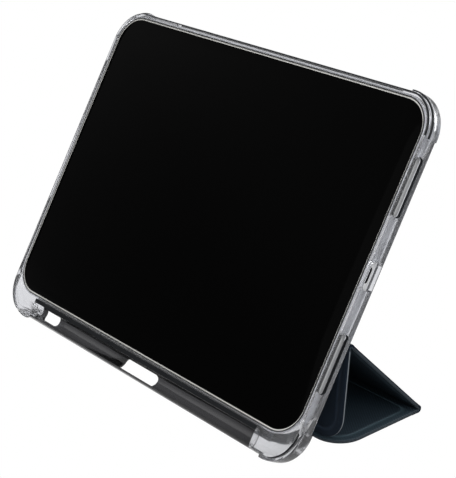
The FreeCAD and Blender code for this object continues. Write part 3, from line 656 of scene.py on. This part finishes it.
# Left, right, low, high, corner, bottom and top of the notch beside the push-out hole.
PUSH_NOTCH = (-95.5, -88.5, -99.0, -91.0, 1.2, -12.0, -2.6)
# How far a cutting tool runs on past what it cuts, and how far it reaches into a space
# that another tool cuts.
SPARE, OVERLAP = 4.0, 0.05
print("frame", 2 * FRAME_HALF, "x", FRAME_TOP - FRAME_LOW, "mm without its cushions")


# %% Underside and cushions


def underside_tool(y, z, radius):
    """What lies outside a round lower edge: a block less a rod."""
    half = FRAME_HALF + 6
    tool = box("underside_tool", (-half, y - radius - SPARE, z - radius - SPARE),
               (half, y, z + radius + SPARE))
    return combine(tool, rod("underside_rod", radius, -half - 1, half + 1, y, z))


def cushion(side, upper):
    """A fat corner: part of a wider, softly rounded plate."""
    half = FRAME_HALF + CUSHION_REACH
    low, high = FRAME_LOW - CUSHION_REACH, FRAME_TOP + CUSHION_REACH
    piece = plate("cushion", -half, half, low, high, FRAME_CORNER + CUSHION_REACH,
                  CUSHION_BACK, CUSHION_FRONT, 18)
    soften(piece, FRAME_ROUND, 4, 60)
    if not upper:
        combine(piece, underside_tool(FOOT_Y, FOOT_Z, FOOT_RADIUS))
    edge = FRAME_HALF - CUSHION_LENGTH
    ends = (FRAME_TOP - CUSHION_LENGTH, high + 1) if upper \
        else (low - 1, FRAME_LOW + CUSHION_LENGTH)
    xs = sorted((side * edge, side * (half + 1)))
    corner = box("corner", (xs[0], ends[0], -20), (xs[1], ends[1], 20))
    soften(corner, FRAME_ROUND, 3, 60)
    return combine(piece, corner, "INTERSECT")


def camera_hole(low, high):
    """A tool for the camera window, between two levels."""
    return plate("camera", CAMERA_X - CAMERA_HALF, CAMERA_X + CAMERA_HALF,
                 CAMERA_Y - CAMERA_HALF, CAMERA_Y + CAMERA_HALF, CAMERA_CORNER, low, high, 8)


# %% Cut the frame from a block
bumper = plate("bumper", -FRAME_HALF, FRAME_HALF, FRAME_LOW, FRAME_TOP, FRAME_CORNER,
               FRAME_BACK, FRAME_FRONT, 18)
soften(bumper, FRAME_ROUND, 4, 60)
combine(bumper, underside_tool(CHANNEL_Y, CHANNEL_Z, CHANNEL_OUTER))
for side in (-1, 1):
    for upper in (True, False):
        combine(bumper, cushion(side, upper), "UNION")

lip_half, lip_high = BAY_HALF - LIP, BAY_HIGH - LIP
rear_half = SEAT_HALF - LEDGE
combine(bumper, plate("lip_opening", -lip_half, lip_half, -lip_high, lip_high,
                      BAY_CORNER - LIP, -OVERLAP, FRAME_FRONT + SPARE, 18))
combine(bumper, plate("bay", -BAY_HALF, BAY_HALF, -BAY_HIGH, BAY_HIGH, BAY_CORNER,
                      -BAY_DEPTH, 0.0, 18))
combine(bumper, plate("seat", -SEAT_HALF, SEAT_HALF, SEAT_LOW, SEAT_HIGH, SEAT_CORNER,
                      -BAY_DEPTH - PANEL_THICK, -BAY_DEPTH + OVERLAP))
combine(bumper, plate("rear_opening", -rear_half, rear_half, SEAT_LOW + LEDGE,
                      SEAT_HIGH - LEDGE, SEAT_CORNER - LEDGE, FRAME_BACK - SPARE,
                      -BAY_DEPTH - PANEL_THICK + OVERLAP))
combine(bumper, box("channel_space",
                    (-CHANNEL_HALF, FRAME_LOW - SPARE, FRAME_BACK - SPARE),
                    (CHANNEL_HALF, -93.5, FRAME_FRONT + SPARE)))
combine(bumper, rod("channel_bed", CHANNEL_OUTER - BED_TIGHT, -CHANNEL_HALF, CHANNEL_HALF,
                    CHANNEL_Y, CHANNEL_Z))
print("bumper, before its cut-outs:", len(bumper.data.polygons), "faces")

# %% Cut-outs for speakers, cable, buttons and camera
# Below this line the lip backs onto the channel's dark wall, so its faces are cut there.
SHADE_LINE = -89.9
# Name, then low and high along the wall, then inner and outer level.
RIGHT_CUTS = [("speaker", 30.6, 62.0, -5.6, -0.5), ("speaker", -62.0, -30.6, -5.6, -0.5),
              ("port", -7.5, 7.5, -8.0, -0.5)]
BUTTON_LEVELS = (-7.4, -0.6)
CUT_CORNER = 2.0
INSIDE_BAY = 0.5
for name, low, high, inner, outer in RIGHT_CUTS:
    combine(bumper, side_plate(name, low, high, inner, outer, CUT_CORNER,
                               BAY_HALF - INSIDE_BAY, FRAME_HALF + SPARE))
combine(bumper, side_plate("power", 57.0, 75.0, *BUTTON_LEVELS, CUT_CORNER,
                           -FRAME_HALF - SPARE, -BAY_HALF + INSIDE_BAY))
combine(bumper, box("volume", (-106.0, BAY_HIGH - INSIDE_BAY, BUTTON_LEVELS[0]),
                    (-77.0, FRAME_TOP + SPARE, BUTTON_LEVELS[1])))
combine(bumper, camera_hole(FRAME_BACK - SPARE, -BAY_DEPTH + 2 * OVERLAP))
combine(bumper, plate("push_notch", *PUSH_NOTCH, 6))
merge(bumper)
only(bumper)
bpy.ops.object.mode_set(mode="EDIT")
for point, normal in (((0, SHADE_LINE, 0), (0, 1, 0)), ((CHANNEL_HALF, 0, 0), (1, 0, 0)),
                      ((-CHANNEL_HALF, 0, 0), (1, 0, 0))):
    bpy.ops.mesh.select_all(action="SELECT")
    bpy.ops.mesh.bisect(plane_co=point, plane_no=normal)
bpy.ops.object.mode_set(mode="OBJECT")
soften(bumper, FINE_ROUND, 2, 50)
print("bumper, cut and rounded:", len(bumper.data.polygons), "faces")

# %% [markdown]
# ### Dark edges
#
# A tight curve on clear plastic bends the view a long way, and in a real studio it
# often shows a dark part of the room, so an outer edge or a slot reads as a thin dark
# line. Refraction alone did not give lines as dark as that here. So the faces of the
# outer roundings, of the slots' walls and of the lip in front of the channel get a darker
# grade of the same plastic: painted dark refraction, not a second material in the real frame.

# %% Find the edge faces and place the frame
# A band is a distance outside the outline, mostly negative, because a rounding lies just
# inside it. A front rounding also lies in front of a level. Both limits are tighter on
# the right half below its upper corner, where the wall is seen broadside.
BROAD_BAND, BROAD_FRONT = (-0.78, 0.02), -0.02
THIN_BAND, THIN_FRONT = (-0.62, -0.04), 0.12
REAR_ROUNDING = -8.2
CUSHION_RIM = (-2.1, -1.1)
BEHIND_LIP = -1.0
SLOT_RIM = 0.3


def outside_by(u, v, low_u, high_u, low_v, high_v, radius):
    """How far a point lies outside a rounded rectangle; negative inside."""
    du = abs(u - (low_u + high_u) / 2) - (high_u - low_u) / 2 + radius
    dv = abs(v - (low_v + high_v) / 2) - (high_v - low_v) / 2 + radius
    return math.hypot(max(du, 0), max(dv, 0)) + min(max(du, dv), 0) - radius


def within(value, band):
    """Whether a value lies between the ends of a band."""
    return band[0] < value < band[1]


def dark_edge_face(co):
    """Whether a face lies on an outer rounding or on a slot's wall."""
    in_slot = co.x > 0 and any(low - 1 < co.y < high + 1 for _, low, high, _, _ in RIGHT_CUTS)
    frame_out = outside_by(co.x, co.y, -FRAME_HALF, FRAME_HALF, FRAME_LOW, FRAME_TOP,
                           FRAME_CORNER)
    thin = co.x > 0 and co.y < FRAME_TOP - FRAME_CORNER
    band, front = (THIN_BAND, THIN_FRONT) if thin else (BROAD_BAND, BROAD_FRONT)
    if within(frame_out, band) and co.z > front:
        return not in_slot
    if within(frame_out, BROAD_BAND) and co.z < REAR_ROUNDING:
        return co.y > BAY_HIGH
    reach = CUSHION_REACH
    cushion_out = outside_by(co.x, co.y, -FRAME_HALF - reach, FRAME_HALF + reach,
                             FRAME_LOW - reach, FRAME_TOP + reach, FRAME_CORNER + reach)
    if within(cushion_out, BROAD_BAND) and within(co.z, CUSHION_RIM):
        return co.y > 0
    # The lip in front of the channel gets the dark grade too: painted shade, for the channel's dark wall behind
    # it.
    if abs(co.x) < CHANNEL_HALF and co.y < SHADE_LINE and co.z > BEHIND_LIP:
        return True
    if co.x > BAY_HALF - 0.05:
        return any(abs(outside_by(co.y, co.z, low, high, inner, outer, CUT_CORNER)) < SLOT_RIM
                   for name, low, high, inner, outer in RIGHT_CUTS if name == "speaker")
    return False


place(bumper, shell_place, smoky_tpu, "shell", ["bumper_frame"], "smoky_tpu",
      dark_refraction_tpu, dark_edge_face)
print("edge faces", sum(face.material_index for face in bumper.data.polygons))

# %% [markdown]
# ## The stylus channel
#
# The channel is a tube with its front cut away, so that its two lips spring apart and
# close again over the stylus. It is made as such: an open tube of zero thickness, with
# the faces above the mouth deleted, then thickened outwards to its wall and rounded.
# A slot through its floor lets a finger push the stylus up, a second one at the left
# end pushes it out, and the inner lip stops short there to leave room for a thumb.

# %% Stylus channel
CHANNEL_MOUTH = 0.0
FLOOR_LEVELS = (-12.0, -4.6)
channel = rod("channel", CHANNEL_BORE, -CHANNEL_HALF, CHANNEL_HALF, CHANNEL_Y,
              CHANNEL_Z, 128)
delete_faces(channel, lambda co: co.z > CHANNEL_MOUTH or abs(co.x) > CHANNEL_HALF - 0.1)
apply(channel, "SOLIDIFY", thickness=CHANNEL_OUTER - CHANNEL_BORE, offset=1.0)
soften(channel, 0.4, 3, 60)
merge(channel)
combine(channel, plate("window", -16.0, 14.0, -104.0, -95.0, 3.2, *FLOOR_LEVELS, 8))
combine(channel, plate("push_hole", -95.5, -81.0, -100.4, -93.6, 2.0, *FLOOR_LEVELS, 6))
combine(channel, plate("push_notch", *PUSH_NOTCH, 6))
combine(channel, box("thumb", (-CHANNEL_HALF - 1, CHANNEL_Y + 1, -1.6),
                     (-80.0, CHANNEL_Y + 9, 2.0)))
merge(channel)
soften(channel, 0.18, 2, 50)
# The channel's dark tint is painted shade.
place(channel, shell_place, shaded_channel_tpu, "shell", ["stylus_channel"], "dark_tpu")

# %% [markdown]
# ## The clear back and the bonded strip
#
# The back is a hard clear plate that snaps in the frame's ledge, so it is a plate
# with a fine bevel and a hole for the camera. The last strip of the cover is glued
# to the frame behind the channel. It is plain leather with soft edges, over a film of
# glue that shows only as a dark line.

# %% Back panel
SIDE_PLAY, DEPTH_PLAY = 0.05, 0.02
back = plate("back", -SEAT_HALF + SIDE_PLAY, SEAT_HALF - SIDE_PLAY, SEAT_LOW + SIDE_PLAY,
             SEAT_HIGH - SIDE_PLAY, SEAT_CORNER, -BAY_DEPTH - PANEL_THICK + DEPTH_PLAY,
             -BAY_DEPTH - DEPTH_PLAY)
combine(back, camera_hole(FRAME_BACK - SPARE, 0))
soften(back, 0.25, 2, 50)
place(back, shell_place, clear_back, "shell", ["back_panel"], "clear_polycarbonate")


# %% Texture coordinates in millimetres


def strip_uv(piece, uv_of=lambda co: (co.x, co.y + co.z)):
    """A UV map in millimetres: X across, and the distance along the surface."""
    layer = piece.data.uv_layers.new(name="strip_mm")
    for loop in piece.data.loops:
        layer.data[loop.index].uv = uv_of(piece.data.vertices[loop.vertex_index].co)


# %% Bonded strip
BOND_LINE_Y, BOND_LINE_Z = -94.3, -10.3
BONDED_HIGH = -80.0
STRIP_HALF = 104.5
STRIP_THICK = 1.6
BOND_GAP = 1.3

bonded = box("bonded", (-STRIP_HALF, BOND_LINE_Y + BOND_GAP, BOND_LINE_Z - STRIP_THICK / 2),
             (STRIP_HALF, BONDED_HIGH, BOND_LINE_Z + STRIP_THICK / 2))
soften(bonded, 0.6, 4, 60)
strip_uv(bonded)
place(bonded, shell_place, navy_leather, "shell", ["bonded_strip"], "navy_leather")

# %% [markdown]
# ## The cover panels
#
# A panel is a board between two skins that are pressed together round it. That leaves
# a flat border about 5 mm wide, a pressed groove where the press stopped, and a
# raised field over the board. Inset would do this on square corners, but it folds over
# itself on small round ones. So the face is extruded step by step, and after each step
# its outline is moved in round its own corner centres. The first outline lies at the
# middle of the panel, where the two skins meet. Solidify then gives the leather its
# own thickness, with room for the board.

# %% Panel sizes and skins
COVER_HALF = 125.2
COVER_THICK = 2.4
SKIN_THICK = 0.5
CUT_EDGE, CUT_EDGE_PROUD = 0.6, 0.05
# Each ring is how far the outline has gone in, how high it then lies, as a share of
# half the panel's thickness, and how strong a painted highlight it carries.
ROUND_RINGS = [(0.0, 0.02, 0.0), (0.0, 0.45, 0.0), (0.12, 0.64, 0.0), (0.30, 0.79, 0.1),
               (0.55, 0.86, 0.2)]
PRESS_RINGS = ROUND_RINGS + [
    (2.8, 0.84, 0.2), (4.0, 0.80, 0.9), (4.25, 0.66, 1.0), (4.6, 0.66, 0.8),
    (5.0, 0.88, 0.2), (5.6, 0.98, 0.0), (6.6, 1.0, 0.0)]
NARROW_RINGS = ROUND_RINGS + [(1.2, 0.88, 0.3), (1.7, 0.98, 0.0), (2.2, 1.0, 0.0)]
FIELD_CORNER = 5.0
RING_SEGMENTS = 10


def corner_circle(half, start, end, corners, inset, co):
    """Centre and radius of the corner that a point belongs to, on an outline gone in."""
    side = 1 if co.x > 0 else -1
    low = co.y < (start + end) / 2
    radius = max(corners[0 if low else 1] - inset, 0.5 if inset < 2 else FIELD_CORNER)
    radius = min(radius, (end - start) / 2 - inset - 0.05)
    y = start + inset + radius if low else end - inset - radius
    return Vector((side * (half - inset - radius), y, 0)), radius


def skin(name, half, start, end, corners, thick, rings, leather):
    """One skin of a strip, on its leather or its lining side."""
    piece = rounded_sheet(name, -half, half, start, end, corners, RING_SEGMENTS)
    bottom = rings[0][1] * thick / 2
    piece.data.transform(Matrix.Translation((0, 0, bottom)))
    # Each point gets a painted highlight value, which pales the colour along the border.
    piece.data.attributes.new("painted_highlight", "FLOAT", "POINT")
    choose(piece, "FACE", lambda co: True)
    for (inset_a, share_a, _), (inset_b, share_b, painted_highlight) in zip(rings, rings[1:]):
        lift = (share_b - share_a) * thick / 2
        bpy.ops.mesh.extrude_region_move(TRANSFORM_OT_translate={"value": (0, 0, lift)})
        bpy.ops.object.mode_set(mode="OBJECT")
        for vertex in piece.data.vertices:
            if vertex.select:
                centre_a, radius_a = corner_circle(half, start, end, corners, inset_a,
                                                   vertex.co)
                centre_b, radius_b = corner_circle(half, start, end, corners, inset_b,
                                                   vertex.co)
                spoke = (vertex.co - centre_a) * radius_b / radius_a
                vertex.co = (centre_b.x + spoke.x, centre_b.y + spoke.y, vertex.co.z)
                piece.data.attributes["painted_highlight"].data[vertex.index].value = painted_highlight
        bpy.ops.object.mode_set(mode="EDIT")
    turn_outward()
    delete_faces(piece, lambda co: abs(co.z - bottom) < SAME_PLACE)
    strip_uv(piece)
    apply(piece, "SOLIDIFY", thickness=SKIN_THICK, offset=-1.0)
    if not leather:
        piece.data.transform(Matrix.Scale(-1, 4, (0, 0, 1)))
        piece.data.flip_normals()
    return piece


def both_skins(strip, half, start, end, corners, thick, rings, body):
    """The leather and the lining of one strip, in place."""
    for layer, leather, material, slot in (
            ("skin", True, navy_leather, "navy_leather"),
            ("lining", False, navy_lining, "navy_microfibre")):
        piece = skin(f"{strip}_{layer}_piece", half, start, end, corners, thick, rings,
                     leather)
        place(piece, strip_place[strip], material, body, [f"{strip}_{layer}"], slot)


def cut_edge(name, half, start, end, corners, material, strip, body):
    """The sealed line round a panel, where its two skins meet."""
    proud = CUT_EDGE_PROUD
    piece = rounded_sheet(name, -half - proud, half + proud, start - proud, end + proud,
                          corners)
    push_up(-CUT_EDGE / 2, CUT_EDGE / 2)
    delete_faces(piece, lambda co: abs(co.z) > 0.48 * CUT_EDGE, "ONLY_FACE")
    apply(piece, "SOLIDIFY", thickness=CUT_EDGE, offset=-1.0)
    soften(piece, 0.12, 2, 60)
    return place(piece, strip_place[strip], material, body)


# %% [markdown]
# The three panels share one width. The first has round front corners, because they
# lie at the spine, the last has round corners at its free edge, and the middle one is
# square at both folds. All stop short of their fold lines by the bare web's width.

# %% Make the panels
NEAR_GAP, REAR_GAP, RIDGE_GAP, SPINE_GAP = 1.8, 3.3, 2.9, 1.6
EDGE_LENGTH = 54.2
SOFT = 1.2

panels = {
    "near": (NEAR_GAP, strip_length["near"] - REAR_GAP, (16.0, SOFT)),
    "middle": (REAR_GAP, strip_length["middle"] - RIDGE_GAP, (SOFT, SOFT)),
    "edge": (RIDGE_GAP, EDGE_LENGTH, (SOFT, 14.0)),
}
for panel, (start, end, corners) in panels.items():
    body = panel + "_panel"
    both_skins(panel, COVER_HALF, start, end, corners, COVER_THICK, PRESS_RINGS, body)
    # The edge panel's cut edge carries the painted highlight; the others keep the dark edge colour.
    rim = highlighted_cut_edge if panel == "edge" else dark_edge
    cut_edge(f"{panel}_cut_edge", COVER_HALF, start, end, corners, rim, panel, body)

# %% [markdown]
# ## The spine strips
#
# Between the shell and the first panel run two narrow strips, which wrap round the
# stylus channel when the case is shut. They are made as the panels are, but are
# thinner and too narrow for a pressed border.

# %% Make the spine strips
for strip, start in (("spine_back", BOND_GAP), ("spine_edge", SPINE_GAP)):
    both_skins(strip, STRIP_HALF, start, strip_length[strip] - SPINE_GAP, (SOFT, SOFT),
               STRIP_THICK, NARROW_RINGS, strip)

# %% [markdown]
# ## The folds
#
# At each fold the two skins are pressed together with no board between them. The skin
# runs on over the fold without a seam, so each web reaches over the panels' pressed
# borders and ends in the groove, where its end can't be seen. Its line is straight,
# then an arc that has both strips as tangents, then straight again. The fold squeezes
# its inside and pads its outside. A slab with many rows is laid flat and its rows are
# then put on that line.

# %% Make the folds
WEB_ROWS = 36
WEB_INSIDE = 0.66
WEB_OUTSIDE = 1.15
WEB_TANGENT = 0.75
WEB_PROUD = 0.02
# A fold that turns more than this, in radians, is padded on its outside.
SHARP_TURN = 1
# From this share of the way to its end, and over this much of it, a web swells to the
# border's height.
SWELL_FROM, SWELL_OVER = 0.12, 0.38
# Each end dips this far, so that it hides in the groove.
WEB_TUCK = 0.12


class WebLine:
    """The middle line of a fold: straight, an arc, straight."""

    def __init__(self, before, after, gap, reaches):
        self.before, self.after = before, after
        self.turn = before.angle(after)
        self.tangent = gap * WEB_TANGENT
        self.radius = self.tangent / math.tan(self.turn / 2)
        self.reaches = [reach + gap - self.tangent for reach in reaches]
        self.arc = self.radius * self.turn
        self.inward = (after - before).normalized()
        self.centre = self.inward * (self.radius / math.cos(self.turn / 2))
        self.length = sum(self.reaches) + self.arc

    def at(self, distance):
        """The point and the direction after this much of the line."""
        along = distance - self.reaches[0]
        if along <= 0:
            return self.before * (along - self.tangent), self.before
        if along >= self.arc:
            return self.after * (along - self.arc + self.tangent), self.after
        angle = along / self.radius
        axis = self.before.cross(self.after).normalized()
        turned = Matrix.Rotation(angle, 3, axis)
        spoke = -self.before * self.tangent - self.centre
        return self.centre + turned @ spoke, turned @ self.before

    def height(self, distance, ends, outer):
        """Half the web's thickness: the border's at each end, its own at the fold."""
        outside = self.before.cross(self.after).dot(ACROSS) * outer < 0
        share = WEB_OUTSIDE if outside and self.turn > SHARP_TURN else WEB_INSIDE
        thin = share * min(ends)
        middle = self.reaches[0] + self.arc / 2
        side = 0 if distance < middle else 1
        away = abs(distance - middle) / (middle if side == 0 else self.length - middle)
        blend = min(max((away - SWELL_FROM) / SWELL_OVER, 0), 1)
        smooth = blend * blend * (3 - 2 * blend)
        tuck = WEB_TUCK if min(distance, self.length - distance) < 1e-6 else 0
        return thin + smooth * (ends[side] - thin) - tuck


def web(name, joint, bodies, line, ends, half, node, outer):
    """The leather half (outer 1) or the lining half (outer -1) of one fold."""
    bpy.ops.object.select_all(action="DESELECT")
    bpy.ops.mesh.primitive_grid_add(x_subdivisions=2, y_subdivisions=WEB_ROWS, size=1)
    piece = new_from_operator(name)
    bpy.ops.object.mode_set(mode="EDIT")
    bpy.ops.mesh.extrude_region_move(TRANSFORM_OT_translate={"value": (0, 0, 1)})
    bpy.ops.object.mode_set(mode="OBJECT")
    strip_uv(piece, lambda co: (co.x * 2 * half, co.y * line.length))
    for vertex in piece.data.vertices:
        x, y, z = vertex.co
        distance = (y + 0.5) * line.length
        point, way = line.at(distance)
        out = ACROSS.cross(way).normalized()
        vertex.co = (ACROSS * x * 2 * half + point
                     + out * outer * z * line.height(distance, ends, outer))
    bpy.ops.object.mode_set(mode="EDIT")
    turn_outward()
    soften(piece, 0.3, 3, 60)
    material = navy_leather if outer > 0 else navy_lining
    slot = "navy_leather" if outer > 0 else "navy_microfibre"
    origin = fold[joint]
    place(piece, Matrix.Translation(origin) @ Matrix.Scale(MM, 4), material,
          None, [node] if outer > 0 else (), slot)
    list(bodies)
    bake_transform(piece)
    return piece


bond_way = -(shell_place.to_3x3() @ Vector((0, 1, 0))).normalized()
BORDER_REACH, NARROW_REACH = 4.0, 1.3
panel_border = 0.86 * COVER_THICK / 2 + WEB_PROUD
strip_border = 0.88 * STRIP_THICK / 2 + WEB_PROUD
bond_height = STRIP_THICK / 2 + WEB_PROUD
# One row for each strip, from the shell on: body, way, reach and height of its border.
BORDERS = [("shell", bond_way, NARROW_REACH, bond_height),
           ("spine_back", ways["spine_back"], NARROW_REACH, strip_border),
           ("spine_edge", ways["spine_edge"], NARROW_REACH, strip_border),
           ("near_panel", ways["near"], BORDER_REACH, panel_border),
           ("middle_panel", ways["middle"], BORDER_REACH, panel_border),
           ("edge_panel", ways["edge"], BORDER_REACH, panel_border)]
# One row for each fold between two of them: name, gap, half width and node.
WEBS = [("bond", BOND_GAP, STRIP_HALF, "bond_crease"),
        ("spine", SPINE_GAP, STRIP_HALF, "spine_crease"),
        ("cover", SPINE_GAP, STRIP_HALF, "near_crease"),
        ("rear", REAR_GAP, COVER_HALF, "rear_crease"),
        ("ridge", RIDGE_GAP, COVER_HALF, "ridge_crease")]
for (name, gap, half, node), before, after in zip(WEBS, BORDERS, BORDERS[1:]):
    bodies, directions, reaches, ends = zip(before, after)
    line = WebLine(*directions, gap, reaches)
    for side, outer in (("leather", 1), ("lining", -1)):
        web(f"{name}_web_{side}", f"{name}_fold", bodies, line, ends, half, node, outer)

# %% [markdown]
# ## Hidden parts
#
# Boards, stiffener, steel strip, magnets and glue keep their own solids from the
# frame: they are plain cut blanks in the real case too. They get their materials
# here.

# %% Materials of the hidden parts
HIDDEN = {
    "near_board": pulp_board, "middle_board": pulp_board, "edge_board": pulp_board,
    "spine_edge_stiffener": pulp_board, "latch_strip": rolled_steel,
    "latch_magnets": nickel, "wake_magnets": nickel, "strip_adhesive": bond_film,
}
for node, material in HIDDEN.items():
    for material_slot in frame["nodes"][node].material_slots:
        material_slot.material = material
print("hidden parts", len(HIDDEN))

# %% [markdown]
# ## The tablet, as a prop
#
# A clear shell shows mostly what it holds, so the set has a tablet in the case. It is a
# prop, not part of the case, but it is attached to the shell's body as the case's pieces
# are: a thin aluminium slab with a black glass face, a bright chamfer round the glass and
# a cable slot.

# %% Tablet prop


def prop_finish(name, colour, surface):
    """One even colour and shine, for the prop only."""
    material, tree = new_material(name)
    finish_material(tree, add(tree, "ShaderNodeBsdfPrincipled", {
        "Base Color": linear(colour), **surface}))
    return material


# The glass is to read as plain black, so it has almost no gloss. The aluminium is only
# half metallic, which keeps it pale where it would mirror the darker cards.
black_glass = prop_finish("black_glass", "#050505", {
    "Roughness": 0.08, "Specular IOR Level": 0.01})
aluminium = prop_finish("anodised_aluminium", "#e6e7e9", {
    "Metallic": 0.45, "Roughness": 0.35})
bright_chamfer = prop_finish("polished_chamfer", "#ecebe6", {
    "Metallic": 0.3, "Roughness": 0.3})
TABLET_HALF, TABLET_HIGH, TABLET_THICK, TABLET_CORNER = 123.8, 89.25, 5.9, 17.4
# The first layer is a black ring round the glass: painted shade for the shadow gap between the tablet and the lip.
FACE_LAYERS = [("tablet_gap", 0.35, 0.015, black_glass),
               ("tablet_chamfer", 1.1, 0.03, bright_chamfer),
               ("tablet_glass", 1.8, 0.06, black_glass)]

tablet = plate("tablet", -TABLET_HALF, TABLET_HALF, -TABLET_HIGH, TABLET_HIGH,
               TABLET_CORNER, -TABLET_THICK, 0.0, 18)
soften(tablet, 0.5, 4, 60)
place(tablet, shell_place, aluminium, "shell")
for name, inset, top, material in FACE_LAYERS:
    layer = plate(name, inset - TABLET_HALF, TABLET_HALF - inset, inset - TABLET_HIGH,
                  TABLET_HIGH - inset, TABLET_CORNER - inset, -0.9, top, 18)
    soften(layer, 0.02, 2, 60)
    place(layer, shell_place, material, "shell")
port = side_plate("tablet_port", -4.2, 4.2, -4.3, -1.6, 1.3, TABLET_HALF - 1,
                  TABLET_HALF + 0.02)
place(port, shell_place, black_glass, "shell")
